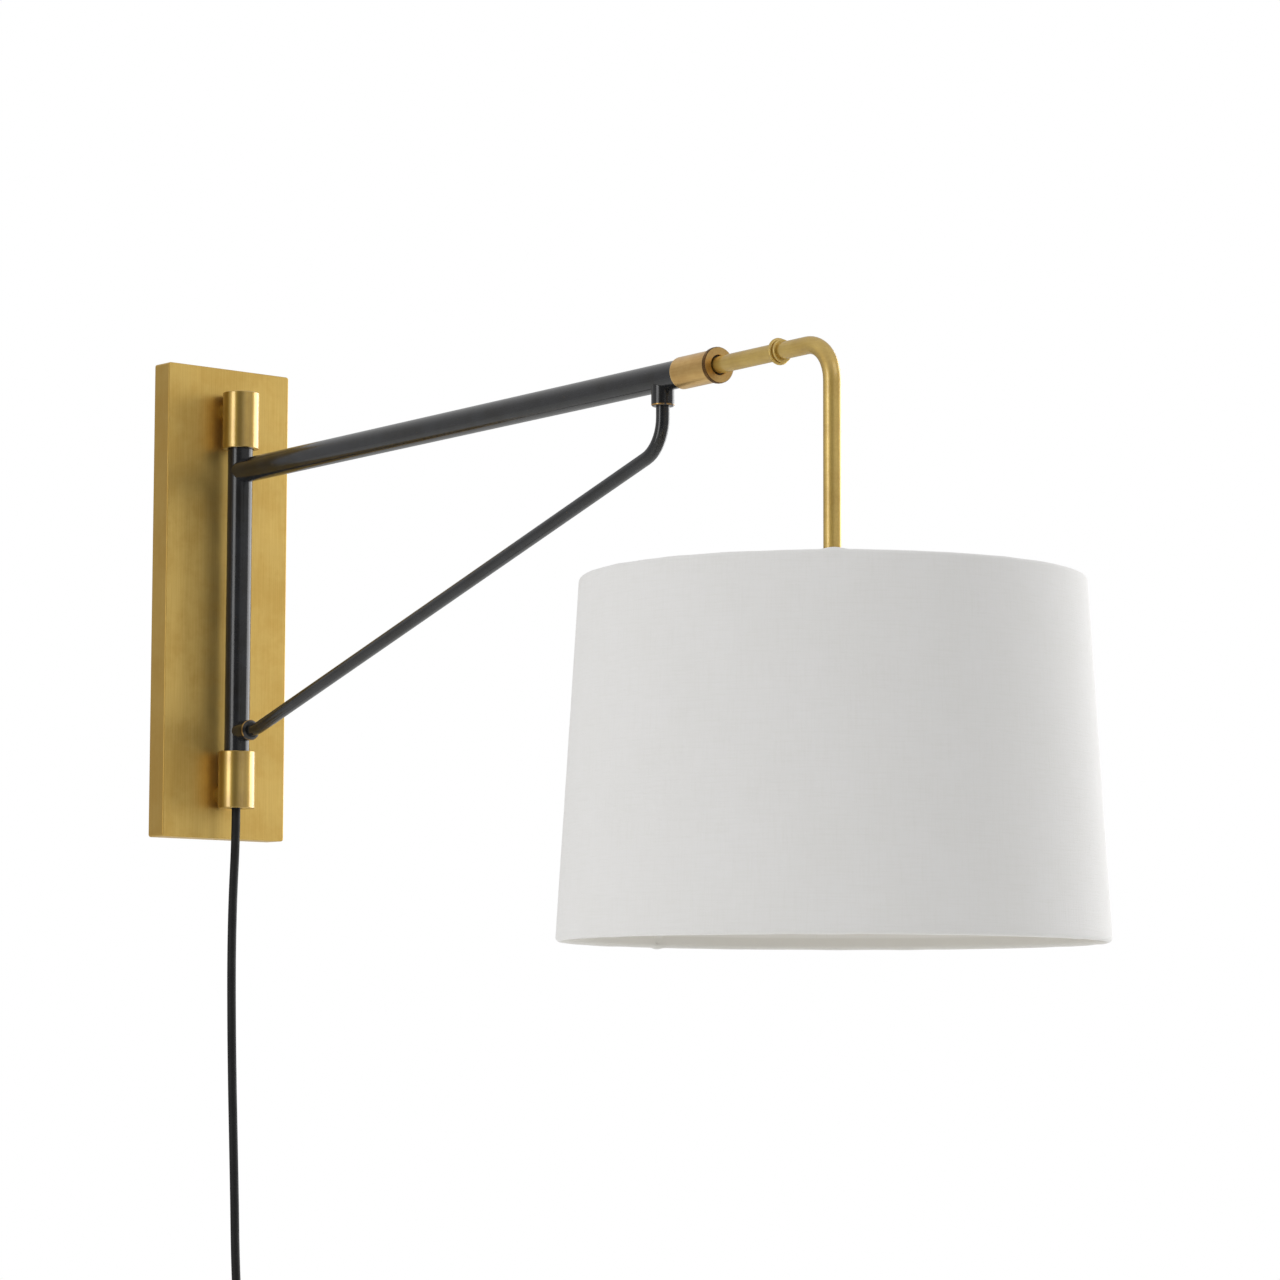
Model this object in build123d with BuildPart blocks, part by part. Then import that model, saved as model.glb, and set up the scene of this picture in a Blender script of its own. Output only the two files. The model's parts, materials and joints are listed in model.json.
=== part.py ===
from build123d import *
from math import cos, pi, radians, sin, sqrt, tan
import os

# Swing arm wall sconce. The wall is the plane y = 0, the lamp stands out towards -Y and +Z is up.
# The origin is the middle of the backplate's back face. All lengths are in millimetres.

os.makedirs("parts", exist_ok=True)

# --- driving dimensions ---------------------------------------------------------------------

running = 0.05              # radial clearance of a part that turns or slides in another

# backplate and wall bracket
plate_width = 110.0
plate_height = 355.6
plate_depth = 18.5
plate_wall = 1.6
plate_corner = 2.0
plate_edge = 0.8
bracket_width = 40.0
bracket_wall = 2.0
bracket_gap = 0.1
ear_depth = 14.0
box_screw_spacing = 76.2
box_slot_length = 12.0
box_slot_radius = 2.3
wall_screw_spacing = 240.0
wall_screw_radius = 2.5
plate_screw_radius = 2.0
plate_screw_length = 7.0
plate_screw_sunk = 0.2
plate_screw_from_wall = 8.0
plate_screw_socket = 1.15
plate_screw_socket_depth = 2.5

# hinge: two barrels on short posts, and the tube that turns in them
hinge_gap_to_plate = 15.5   # from the plate's front face to the tube's axis
hinge_middle = 1.0          # height of the point half way between the barrels
mouth_half_gap = 114.15     # from there to each barrel's mouth
barrel_radius = 13.8
barrel_length = 42.6
barrel_edge = 0.6
post_radius = 8.5
post_height = 145.0
post_screw_radius = 2.5
post_screw_clearance = 2.7
screw_depth_in_barrel = 7.0
washer_radius = 5.5
washer_thickness = 1.0
screw_head_radius = 4.5
screw_head_height = 2.8
screw_head_round = 0.9
screw_head_slot = 5.0
screw_head_slot_width = 1.0
screw_head_slot_depth = 1.4
screw_end_gap = 0.5
bush_wall = 0.8
bush_length = 18.0
bush_recess = 1.2
thrust_thickness = 1.5
thrust_bore = 6.0
cord_hole_radius = 5.0
grommet_length = 12.0

# swinging frame
pivot_radius = 9.4
pivot_bore = 7.9
rest_swing = -5.0           # the arm's direction at rest, degrees from straight out
arm_height = 98.2
arm_radius = 9.2
arm_bore = 7.7
lead_hole_radius = 6.0
foot_radius = 7.7
foot_reach = 21.8           # from the tube's axis to the foot's end face
foot_chamfer = 2.0
strut_radius = 4.5
strut_angle = 16.4
strut_corner = 28.2         # where the strut starts to rise
strut_low_bend = 35.0
strut_high_bend = 26.0
boss_reach = 540.6
boss_radius = 7.6
boss_bottom = 79.2
boss_chamfer = 0.8
strut_socket = 7.5          # how deep the strut sits in the foot and in the boss

# clamp at the arm's end
sleeve_start = 561.4
sleeve_shoulder = 597.7
sleeve_radius = 10.5
sleeve_chamfer = 0.7
arm_end = 575.0
nose_radius = 8.8
nose_end = 599.9
guide_radius = 6.9
ring_back = 598.0
ring_front = 601.7
ring_radius = 11.9
ring_hole = 6.4
ring_lip = 1.5
ring_chamfer = 0.6
knurl_count = 60
knurl_depth = 0.45

# sliding rod
rod_radius = 5.55
rod_bore = 4.0
rod_bend = 25.0
drop_reach = 717.0          # from the tube's axis to the lamp's axis
slide_out = 150.0
piston_length = 16.0
rod_bottom = -66.0

# collar that stops the rod against the lock ring: width, radius and rounding of each step
collar_back = 662.7
collar_steps = [(2.6, 8.6, 1.2), (0.9, 6.7, 0.0), (1.9, 7.4, 0.6)]
set_screw_radius = 0.9
set_screw_length = 2.7
set_screw_socket = 0.55
set_screw_socket_depth = 1.2

# inner leads
cord_radius = 3.25
lead_radius = 2.6
lead_stop = 330.0
lead_bend = 9.0

# lamp holder, below the rod; heights are absolute
cap_top = -56.0
cap_bottom = -80.0
cap_neck = 7.6
cap_neck_height = 6.0
cap_dome_height = 11.0
cap_dome_radius = 13.0
cap_wall = 0.8
cap_screw_drop = 3.0
cap_screw_head = 0.6
holder_radius = 17.0
holder_wall = 0.8
holder_top = -76.0
holder_bottom = -122.0
flange_top = -108.5
flange_radius = 19.5
flange_height = 1.5
insulator_top = -80.0
insulator_floor = -90.0
insulator_bottom = -119.0
screw_shell_radius = 13.8
screw_shell_wall = 0.45
hub_height = 2.0
hub_radius = 22.5
hub_clearance = 0.2
uno_height = 7.0
uno_radius = 20.0
uno_notches = 8
uno_notch_radius = 1.6
contact_length = 14.0
contact_width = 6.0
contact_thickness = 0.8
contact_button = 2.5
knob_height = -85.0
knob_shaft = 2.0
knob_shaft_hole = 2.5
knob_shaft_start = 7.0
knob_shaft_gap = 1.0
knob_start = 25.0
knob_end = 37.0
knob_radius = 5.5
knob_flutes = 14
knob_flute_radius = 0.8
knob_flute_depth = 0.4
knob_round = 0.3

# bulb, a 60 mm wide globe on a 26 mm screw base
bulb_tip = -92.0
tip_radius = 4.5
tip_bottom = -93.6
glass_ring_radius = 9.0
glass_ring_bottom = -94.6
base_shoulder = 11.8
base_radius = 13.1
base_top = -97.0
base_full_top = -99.0
base_bottom = -120.0
globe_radius = 30.0
globe_middle = -172.0
globe_wall = 0.8
globe_tangent = 27.0        # where the straight neck meets the globe
neck_top_radius = 14.0
neck_radius = 19.5
neck_wall = 1.5
neck_curve = 40.0
neck_height = 14.0

# shade
shade_top = -50.2
shade_bottom = -271.4
shade_top_radius = 154.8
shade_bottom_radius = 168.2
linen = 0.6
liner = 0.8
wire_radius = 1.6
wire_gap = 0.2
hem_cloth = 0.6
hem_outside = 3.0           # how far a hem reaches from its wire's middle, outside and inside
hem_inside = 8.0
leg_count = 3
leg_radius = 1.4
leg_turn = 38.0             # the first leg's direction, degrees clockwise from the arm's
leg_start = 21.0
leg_flat = 33.0
leg_bend = 12.0

# plug-in cord: its hanging run, its coil, and the tail that carries the plug
cord_route = [
    (0.0, -34.0, -155.75),
    (0.0, -34.0, -180.0),
    (-2.2, -34.3, -222.0),
    (-2.9, -34.6, -266.0),
    (-2.3, -34.8, -312.0),
    (-0.9, -34.7, -358.0),
    (0.9, -34.6, -402.0),
    (2.6, -34.6, -446.0),
    (3.6, -35.0, -488.0),
    (4.6, -36.8, -522.0),
    (13.2, -39.6, -546.0),
    (27.4, -40.5, -562.6),
]
tail_route = [
    (40.4, -27.5, -594.1),
    (41.0, -27.0, -613.0),
    (40.6, -27.3, -629.0),
    (40.6, -27.3, -645.0),
]
bend_share = 0.45           # how much of a run between two points a bend may use
coil_centre = (-4.1, -34.0, -594.1)
coil_radius = 38.0          # at the middle of its turns
coil_bundle = 19.5          # three turns wide and three deep
tie_start = 59.0            # degrees round the coil from its top, clockwise from the front
tie_angle = 16.0
tie_wall = 1.5
plug_relief = 22.0
plug_relief_start = 4.15
plug_relief_end = 6.25
plug_length = 25.0
plug_width = 24.0
plug_depth = 15.0
plug_edge = 3.0
plug_round = 1.0
blade_length = 17.0
blade_width = 6.35
blade_thickness = 1.5
blade_spacing = 12.7
blade_chamfer = 0.4

# --- derived places -------------------------------------------------------------------------

hinge_y = -(plate_depth + hinge_gap_to_plate)
top_mouth = hinge_middle + mouth_half_gap
bottom_mouth = hinge_middle - mouth_half_gap
bore_depth = bush_recess + bush_length + thrust_thickness
bush_radius = pivot_radius + running + bush_wall
tube_insert = bush_recess + bush_length - running

swing = radians(rest_swing)
out = Vector(sin(swing), -cos(swing), 0)
left = Vector(-cos(swing), -sin(swing), 0)
up = Vector(0, 0, 1)
hinge_foot = Vector(0, hinge_y, 0)
arm_axis = Axis(hinge_foot + up * arm_height, out)
lamp_foot = hinge_foot + out * drop_reach
lamp_axis = Axis(lamp_foot, (0, 0, 1))

# vertical planes whose x is the distance along the arm, or from the lamp's axis, and whose y is height
arm_plane = Plane(origin=hinge_foot, x_dir=out, z_dir=left)
lamp_plane = Plane(origin=lamp_foot, x_dir=out, z_dir=left)


def across_arm(reach, height):
    """The plane square to the arm at a distance from the hinge and a height."""
    return Plane(origin=hinge_foot + out * reach + up * height, x_dir=left, z_dir=out)


def level(centre, height):
    """The horizontal plane at a height, with its origin over a centre."""
    return Plane(origin=(centre.X, centre.Y, height), x_dir=out, z_dir=(0, 0, 1))


# --- wall bracket and backplate -------------------------------------------------------------

ear_outside = plate_height / 2 - plate_wall - bracket_gap
with BuildPart() as wall_bracket:
    with BuildSketch(Plane.XZ):
        Rectangle(bracket_width, 2 * ear_outside)
        with Locations((0, box_screw_spacing / 2), (0, -box_screw_spacing / 2)):
            SlotOverall(box_slot_length, 2 * box_slot_radius, rotation=90, mode=Mode.SUBTRACT)
        with Locations((0, wall_screw_spacing / 2), (0, -wall_screw_spacing / 2)):
            Circle(wall_screw_radius, mode=Mode.SUBTRACT)
    extrude(amount=bracket_wall)
    with BuildSketch(Plane.XZ):
        with Locations((0, ear_outside - bracket_wall / 2), (0, bracket_wall / 2 - ear_outside)):
            Rectangle(bracket_width, bracket_wall)
    extrude(amount=ear_depth)
    with BuildSketch(Plane.XY.offset(-plate_height / 2)):
        with Locations((0, -plate_screw_from_wall)):
            Circle(plate_screw_radius)
    extrude(amount=plate_height, mode=Mode.SUBTRACT)
wall_bracket.part.label = "wall_bracket"
export_step(wall_bracket.part, "parts/wall_bracket.step")

with BuildPart() as backplate:
    with BuildSketch(Plane.XZ):
        Rectangle(plate_width, plate_height)
    extrude(amount=plate_depth)
    fillet(backplate.edges().filter_by(Axis.Y), plate_corner)
    fillet(backplate.faces().sort_by(Axis.Y)[0].edges(), plate_edge)
    with BuildSketch(Plane.XZ):
        Rectangle(plate_width - 2 * plate_wall, plate_height - 2 * plate_wall)
    extrude(amount=plate_depth - plate_wall, mode=Mode.SUBTRACT)
    with BuildSketch(Plane.XZ):
        with Locations((0, post_height), (0, -post_height)):
            Circle(post_screw_clearance)
    extrude(amount=plate_depth, mode=Mode.SUBTRACT)
    with BuildSketch(Plane.XY.offset(-plate_height / 2)):
        with Locations((0, -plate_screw_from_wall)):
            Circle(plate_screw_radius)
    extrude(amount=plate_height, mode=Mode.SUBTRACT)
backplate.part.label = "backplate"
export_step(backplate.part, "parts/backplate.step")

# flush set screws in the plate's top and bottom edges, which hold it on the bracket's ears
with BuildPart() as plate_set_screws:
    for way in (1, -1):
        end_height = way * (plate_height / 2 - plate_screw_sunk)
        screw_end = Plane(origin=(0, -plate_screw_from_wall, end_height), z_dir=(0, 0, -way))
        with BuildSketch(screw_end):
            Circle(plate_screw_radius)
        extrude(amount=plate_screw_length)
        with BuildSketch(screw_end):
            RegularPolygon(plate_screw_socket, 6)
        extrude(amount=plate_screw_socket_depth, mode=Mode.SUBTRACT)
plate_set_screws.part.label = "plate_set_screws"
export_step(plate_set_screws.part, "parts/plate_set_screws.step")

# --- hinge barrels --------------------------------------------------------------------------

for end, way in (("top", 1), ("bottom", -1)):
    mouth_height = hinge_middle + way * mouth_half_gap
    mouth = Plane(origin=(0, hinge_y, mouth_height), z_dir=(0, 0, way))
    post_face = Plane.XZ.offset(plate_depth)

    with BuildPart() as post:
        with BuildSketch(post_face):
            with Locations((0, way * post_height)):
                Circle(post_radius)
                Circle(post_screw_clearance, mode=Mode.SUBTRACT)
        extrude(amount=hinge_gap_to_plate)
        with BuildSketch(mouth):
            Circle(barrel_radius)
        extrude(amount=barrel_length, mode=Mode.SUBTRACT)
    post.part.label = f"{end}_post"
    export_step(post.part, f"parts/{end}_post.step")

    with BuildPart() as barrel:
        with BuildSketch(mouth):
            Circle(barrel_radius)
        extrude(amount=barrel_length)
        fillet(barrel.edges().filter_by(GeomType.CIRCLE), barrel_edge)
        with BuildSketch(mouth):
            Circle(bush_radius)
        extrude(amount=bore_depth, mode=Mode.SUBTRACT)
        with BuildSketch(post_face):
            with Locations((0, way * post_height)):
                Circle(post_screw_radius)
        extrude(amount=hinge_gap_to_plate - barrel_radius + screw_depth_in_barrel, mode=Mode.SUBTRACT)
        if end == "bottom":
            with BuildSketch(mouth):
                Circle(cord_hole_radius)
            extrude(amount=barrel_length, mode=Mode.SUBTRACT)
    barrel.part.label = f"{end}_barrel"
    export_step(barrel.part, f"parts/{end}_barrel.step")

    with BuildPart() as bush:
        with BuildSketch(mouth.offset(bush_recess)):
            Circle(bush_radius)
            Circle(pivot_radius + running, mode=Mode.SUBTRACT)
        extrude(amount=bush_length)
    bush.part.label = f"{end}_pivot_bush"
    export_step(bush.part, f"parts/{end}_pivot_bush.step")

    with BuildPart() as thrust_washer:
        with BuildSketch(mouth.offset(bush_recess + bush_length)):
            Circle(bush_radius)
            Circle(thrust_bore, mode=Mode.SUBTRACT)
        extrude(amount=thrust_thickness)
    thrust_washer.part.label = f"{end}_thrust_washer"
    export_step(thrust_washer.part, f"parts/{end}_thrust_washer.step")

# the screws that hold the posts and barrels, put in from inside the plate
plate_inside = plate_depth - plate_wall
with BuildPart() as post_screw_washers:
    with BuildSketch(Plane.XZ.offset(plate_inside)):
        with Locations((0, post_height), (0, -post_height)):
            Circle(washer_radius)
            Circle(post_screw_clearance, mode=Mode.SUBTRACT)
    extrude(amount=-washer_thickness)
post_screw_washers.part.label = "post_screw_washers"
export_step(post_screw_washers.part, "parts/post_screw_washers.step")

head_seat = plate_inside - washer_thickness
with BuildPart() as post_screws:
    with BuildSketch(Plane.XZ.offset(head_seat)):
        with Locations((0, post_height), (0, -post_height)):
            Circle(screw_head_radius)
    extrude(amount=-screw_head_height)
    fillet(post_screws.faces().sort_by(Axis.Y)[-2:].edges(), screw_head_round)
    with BuildSketch(Plane.XZ.offset(head_seat - screw_head_height)):
        with Locations((0, post_height), (0, -post_height)):
            Rectangle(screw_head_slot, screw_head_slot_width)
            Rectangle(screw_head_slot_width, screw_head_slot)
    extrude(amount=screw_head_slot_depth, mode=Mode.SUBTRACT)
    with BuildSketch(Plane.XZ.offset(head_seat)):
        with Locations((0, post_height), (0, -post_height)):
            Circle(post_screw_radius)
    extrude(amount=-hinge_y - barrel_radius + screw_depth_in_barrel - head_seat - screw_end_gap)
post_screws.part.label = "post_screws"
export_step(post_screws.part, "parts/post_screws.step")

with BuildPart() as cord_grommet:
    with BuildSketch(Plane(origin=(0, hinge_y, bottom_mouth - barrel_length))):
        Circle(cord_hole_radius)
        Circle(cord_radius, mode=Mode.SUBTRACT)
    extrude(amount=grommet_length)
cord_grommet.part.label = "cord_grommet"
export_step(cord_grommet.part, "parts/cord_grommet.step")

with BuildPart() as lower_lead:
    with BuildSketch(Plane(origin=(0, hinge_y, bottom_mouth - barrel_length))):
        Circle(cord_radius)
    extrude(amount=barrel_length - bottom_mouth)
lower_lead.part.label = "lower_lead"
export_step(lower_lead.part, "parts/lower_lead.step")

# --- swinging frame -------------------------------------------------------------------------

with BuildPart() as pivot_tube:
    with BuildSketch(Plane(origin=(0, hinge_y, bottom_mouth - tube_insert))):
        Circle(pivot_radius)
        Circle(pivot_bore, mode=Mode.SUBTRACT)
    extrude(amount=top_mouth - bottom_mouth + 2 * tube_insert)
    with BuildSketch(across_arm(0, arm_height)):
        Circle(lead_hole_radius)
    extrude(amount=2 * pivot_radius, mode=Mode.SUBTRACT)
pivot_tube.part.label = "pivot_tube"
export_step(pivot_tube.part, "parts/pivot_tube.step")

with BuildPart() as arm_tube:
    with BuildSketch(across_arm(0, arm_height)):
        Circle(arm_radius)
        Circle(arm_bore, mode=Mode.SUBTRACT)
    extrude(amount=arm_end)
    with BuildSketch(level(hinge_foot, arm_height - 2 * arm_radius)):
        Circle(pivot_radius)
    extrude(amount=4 * arm_radius, mode=Mode.SUBTRACT)
arm_tube.part.label = "arm_tube"
export_step(arm_tube.part, "parts/arm_tube.step")

with BuildPart() as strut_foot:
    with BuildSketch(across_arm(0, -arm_height)):
        Circle(foot_radius)
    extrude(amount=foot_reach)
    chamfer(strut_foot.faces().sort_by(Axis(hinge_foot, out))[-1].edges(), foot_chamfer)
    with BuildSketch(level(hinge_foot, -arm_height - 2 * foot_radius)):
        Circle(pivot_radius)
    extrude(amount=4 * foot_radius, mode=Mode.SUBTRACT)
    with BuildSketch(across_arm(foot_reach, -arm_height)):
        Circle(strut_radius)
    extrude(amount=-strut_socket, mode=Mode.SUBTRACT)
strut_foot.part.label = "strut_foot"
export_step(strut_foot.part, "parts/strut_foot.step")

with BuildPart() as strut_boss:
    with BuildSketch(level(hinge_foot + out * boss_reach, boss_bottom)):
        Circle(boss_radius)
    extrude(amount=arm_height - boss_bottom)
    chamfer(strut_boss.faces().sort_by(Axis.Z)[0].edges(), boss_chamfer)
    with BuildSketch(across_arm(boss_reach - 2 * boss_radius, arm_height)):
        Circle(arm_radius)
    extrude(amount=4 * boss_radius, mode=Mode.SUBTRACT)
    with BuildSketch(level(hinge_foot + out * boss_reach, boss_bottom)):
        Circle(strut_radius)
    extrude(amount=strut_socket, mode=Mode.SUBTRACT)
strut_boss.part.label = "strut_boss"
export_step(strut_boss.part, "parts/strut_boss.step")

strut_rise = (boss_reach - strut_corner) * tan(radians(strut_angle))
with BuildPart() as strut:
    with BuildLine(arm_plane) as strut_line:
        FilletPolyline(
            (foot_reach - strut_socket, -arm_height),
            (strut_corner, -arm_height),
            (boss_reach, strut_rise - arm_height),
            (boss_reach, boss_bottom + strut_socket),
            radius=[strut_low_bend, strut_high_bend],
        )
    with BuildSketch(across_arm(foot_reach - strut_socket, -arm_height)):
        Circle(strut_radius)
    sweep(path=strut_line.line)
strut.part.label = "strut"
export_step(strut.part, "parts/strut.step")

with BuildPart() as clamp_sleeve:
    with BuildSketch(arm_plane):
        with BuildLine():
            Polyline(
                (sleeve_start, arm_height + arm_radius),
                (sleeve_start, arm_height + sleeve_radius - sleeve_chamfer),
                (sleeve_start + sleeve_chamfer, arm_height + sleeve_radius),
                (sleeve_shoulder, arm_height + sleeve_radius),
                (sleeve_shoulder, arm_height + nose_radius),
                (nose_end, arm_height + nose_radius),
                (nose_end, arm_height + guide_radius),
                (arm_end, arm_height + guide_radius),
                (arm_end, arm_height + arm_radius),
                close=True,
            )
        make_face()
    revolve(axis=arm_axis)
clamp_sleeve.part.label = "clamp_sleeve"
export_step(clamp_sleeve.part, "parts/clamp_sleeve.step")

with BuildPart() as guide_bush:
    with BuildSketch(across_arm(arm_end, arm_height)):
        Circle(guide_radius)
        Circle(rod_radius + running, mode=Mode.SUBTRACT)
    extrude(amount=nose_end - arm_end)
guide_bush.part.label = "guide_bush"
export_step(guide_bush.part, "parts/guide_bush.step")

with BuildPart() as upper_lead:
    with BuildLine(arm_plane) as upper_lead_line:
        FilletPolyline((0, running), (0, arm_height), (lead_stop, arm_height), radius=lead_bend)
    with BuildSketch(level(hinge_foot, running)):
        Circle(lead_radius)
    sweep(path=upper_lead_line.line)
upper_lead.part.label = "upper_lead"
export_step(upper_lead.part, "parts/upper_lead.step")

# knurled ring that is turned by hand to grip or free the rod
with BuildPart() as lock_ring:
    with BuildSketch(across_arm(ring_back, arm_height)):
        Circle(ring_radius)
        with PolarLocations(ring_radius, knurl_count):
            Rectangle(knurl_depth * sqrt(2), knurl_depth * sqrt(2), rotation=45, mode=Mode.SUBTRACT)
        Circle(ring_hole, mode=Mode.SUBTRACT)
    extrude(amount=ring_front - ring_back)
    with BuildSketch(across_arm(ring_back, arm_height)):
        Circle(nose_radius + running)
    extrude(amount=ring_front - ring_back - ring_lip, mode=Mode.SUBTRACT)
    with BuildSketch(arm_plane):
        for face_reach, inward in ((ring_back, 1), (ring_front, -1)):
            with BuildLine():
                Polyline(
                    (face_reach, arm_height + ring_radius - ring_chamfer),
                    (face_reach + inward * ring_chamfer, arm_height + ring_radius),
                    (face_reach + inward * ring_chamfer, arm_height + ring_radius + ring_chamfer),
                    (face_reach, arm_height + ring_radius + ring_chamfer),
                    close=True,
                )
            make_face()
    revolve(axis=arm_axis, mode=Mode.SUBTRACT)
lock_ring.part.label = "lock_ring"
export_step(lock_ring.part, "parts/lock_ring.step")

# --- sliding rod ----------------------------------------------------------------------------

piston_front = arm_end - slide_out
rod_start = piston_front - piston_length

with BuildPart() as drop_rod:
    with BuildLine(arm_plane) as rod_line:
        FilletPolyline(
            (rod_start, arm_height),
            (drop_reach, arm_height),
            (drop_reach, rod_bottom),
            radius=rod_bend,
        )
    with BuildSketch(across_arm(rod_start, arm_height)):
        Circle(rod_radius)
        Circle(rod_bore, mode=Mode.SUBTRACT)
    sweep(path=rod_line.line)
drop_rod.part.label = "drop_rod"
export_step(drop_rod.part, "parts/drop_rod.step")

with BuildPart() as rod_piston:
    with BuildSketch(across_arm(rod_start, arm_height)):
        Circle(arm_bore - running)
        Circle(rod_radius, mode=Mode.SUBTRACT)
    extrude(amount=piston_length)
rod_piston.part.label = "rod_piston"
export_step(rod_piston.part, "parts/rod_piston.step")

collar_length = sum(width for width, radius, rounding in collar_steps)
screw_reach = collar_back + collar_steps[0][0] / 2
collar_top = hinge_foot + out * screw_reach + up * arm_height
with BuildPart() as stop_collar:
    reach = collar_back
    for width, radius, rounding in collar_steps:
        with BuildSketch(across_arm(reach, arm_height)):
            Circle(radius)
        extrude(amount=width)
        reach = reach + width
    for width, radius, rounding in reversed(collar_steps):
        if rounding:
            rims = stop_collar.edges().filter_by(GeomType.CIRCLE)
            fillet([rim for rim in rims if abs(rim.radius - radius) < running], rounding)
    with BuildSketch(across_arm(collar_back, arm_height)):
        Circle(rod_radius)
    extrude(amount=collar_length, mode=Mode.SUBTRACT)
    with BuildSketch(Plane(origin=collar_top, z_dir=up)):
        Circle(set_screw_radius)
    extrude(amount=2 * rod_radius, mode=Mode.SUBTRACT)
stop_collar.part.label = "stop_collar"
export_step(stop_collar.part, "parts/stop_collar.step")

with BuildPart() as collar_set_screw:
    with BuildSketch(Plane(origin=collar_top + up * rod_radius, z_dir=up)):
        Circle(set_screw_radius)
    extrude(amount=set_screw_length)
    with BuildSketch(Plane(origin=collar_top + up * (rod_radius + set_screw_length), z_dir=up)):
        RegularPolygon(set_screw_socket, 6)
    extrude(amount=-set_screw_socket_depth, mode=Mode.SUBTRACT)
collar_set_screw.part.label = "collar_set_screw"
export_step(collar_set_screw.part, "parts/collar_set_screw.step")

with BuildPart() as rod_lead:
    with BuildLine(arm_plane) as rod_lead_line:
        FilletPolyline(
            (rod_start, arm_height),
            (drop_reach, arm_height),
            (drop_reach, insulator_top),
            radius=rod_bend,
        )
    with BuildSketch(across_arm(rod_start, arm_height)):
        Circle(lead_radius)
    sweep(path=rod_lead_line.line)
rod_lead.part.label = "rod_lead"
export_step(rod_lead.part, "parts/rod_lead.step")

# --- lamp holder ----------------------------------------------------------------------------

cap_radius = holder_radius + cap_wall
dome_top = cap_top - cap_neck_height
dome_bottom = dome_top - cap_dome_height
dome_inside = dome_top - cap_wall * 2
with BuildPart() as holder_cap:
    with BuildSketch(lamp_plane):
        with BuildLine():
            Line((rod_radius, cap_top), (cap_neck, cap_top))
            Line((cap_neck, cap_top), (cap_neck, dome_top))
            RadiusArc((cap_neck, dome_top), (cap_radius, dome_bottom), cap_dome_radius)
            Line((cap_radius, dome_bottom), (cap_radius, cap_bottom))
            Line((cap_radius, cap_bottom), (holder_radius, cap_bottom))
            Line((holder_radius, cap_bottom), (holder_radius, dome_bottom))
            RadiusArc((holder_radius, dome_bottom), (cap_neck, dome_inside), cap_wall * 2 - cap_dome_radius)
            Line((cap_neck, dome_inside), (cap_neck, rod_bottom))
            Line((cap_neck, rod_bottom), (rod_radius, rod_bottom))
            Line((rod_radius, rod_bottom), (rod_radius, cap_top))
        make_face()
    revolve(axis=lamp_axis)
    with BuildSketch(Plane(origin=lamp_foot + up * (cap_top - cap_screw_drop), z_dir=left)):
        Circle(set_screw_radius)
    extrude(amount=-2 * cap_neck, mode=Mode.SUBTRACT)
holder_cap.part.label = "holder_cap"
export_step(holder_cap.part, "parts/holder_cap.step")

cap_screw = lamp_foot + up * (cap_top - cap_screw_drop)
with BuildPart() as cap_set_screw:
    with BuildSketch(Plane(origin=cap_screw - left * rod_radius, z_dir=-left)):
        Circle(set_screw_radius)
    extrude(amount=cap_neck - rod_radius + cap_screw_head)
    with BuildSketch(Plane(origin=cap_screw - left * (cap_neck + cap_screw_head), z_dir=-left)):
        RegularPolygon(set_screw_socket, 6)
    extrude(amount=-set_screw_socket_depth, mode=Mode.SUBTRACT)
cap_set_screw.part.label = "cap_set_screw"
export_step(cap_set_screw.part, "parts/cap_set_screw.step")

knob_plane = Plane(origin=lamp_foot + up * knob_height, z_dir=left)
holder_inside = holder_radius - holder_wall
with BuildPart() as holder_shell:
    with BuildSketch(lamp_plane):
        with BuildLine():
            Polyline(
                (holder_inside, holder_top),
                (holder_radius, holder_top),
                (holder_radius, flange_top),
                (flange_radius, flange_top),
                (flange_radius, flange_top - flange_height),
                (holder_radius, flange_top - flange_height),
                (holder_radius, holder_bottom),
                (holder_inside, holder_bottom),
                close=True,
            )
        make_face()
    revolve(axis=lamp_axis)
    with BuildSketch(knob_plane):
        Circle(knob_shaft_hole)
    extrude(amount=2 * holder_radius, mode=Mode.SUBTRACT)
holder_shell.part.label = "holder_shell"
export_step(holder_shell.part, "parts/holder_shell.step")

with BuildPart() as holder_insulator:
    with BuildSketch(level(lamp_foot, insulator_bottom)):
        Circle(holder_inside)
    extrude(amount=insulator_top - insulator_bottom)
    with BuildSketch(level(lamp_foot, insulator_bottom)):
        Circle(screw_shell_radius)
    extrude(amount=insulator_floor - insulator_bottom, mode=Mode.SUBTRACT)
    with BuildSketch(knob_plane.offset(knob_shaft_start - knob_shaft_gap)):
        Circle(knob_shaft + running)
    extrude(amount=2 * holder_radius, mode=Mode.SUBTRACT)
holder_insulator.part.label = "holder_insulator"
export_step(holder_insulator.part, "parts/holder_insulator.step")

with BuildPart() as screw_shell:
    with BuildSketch(level(lamp_foot, insulator_bottom)):
        Circle(screw_shell_radius)
        Circle(screw_shell_radius - screw_shell_wall, mode=Mode.SUBTRACT)
    extrude(amount=insulator_floor - insulator_bottom)
screw_shell.part.label = "screw_shell"
export_step(screw_shell.part, "parts/screw_shell.step")

with BuildPart() as centre_contact:
    with BuildSketch(level(lamp_foot, insulator_floor)):
        SlotOverall(contact_length, contact_width)
    extrude(amount=-contact_thickness)
    with BuildSketch(level(lamp_foot, insulator_floor - contact_thickness)):
        Circle(contact_button)
    extrude(amount=bulb_tip - insulator_floor + contact_thickness)
centre_contact.part.label = "centre_contact"
export_step(centre_contact.part, "parts/centre_contact.step")

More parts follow.
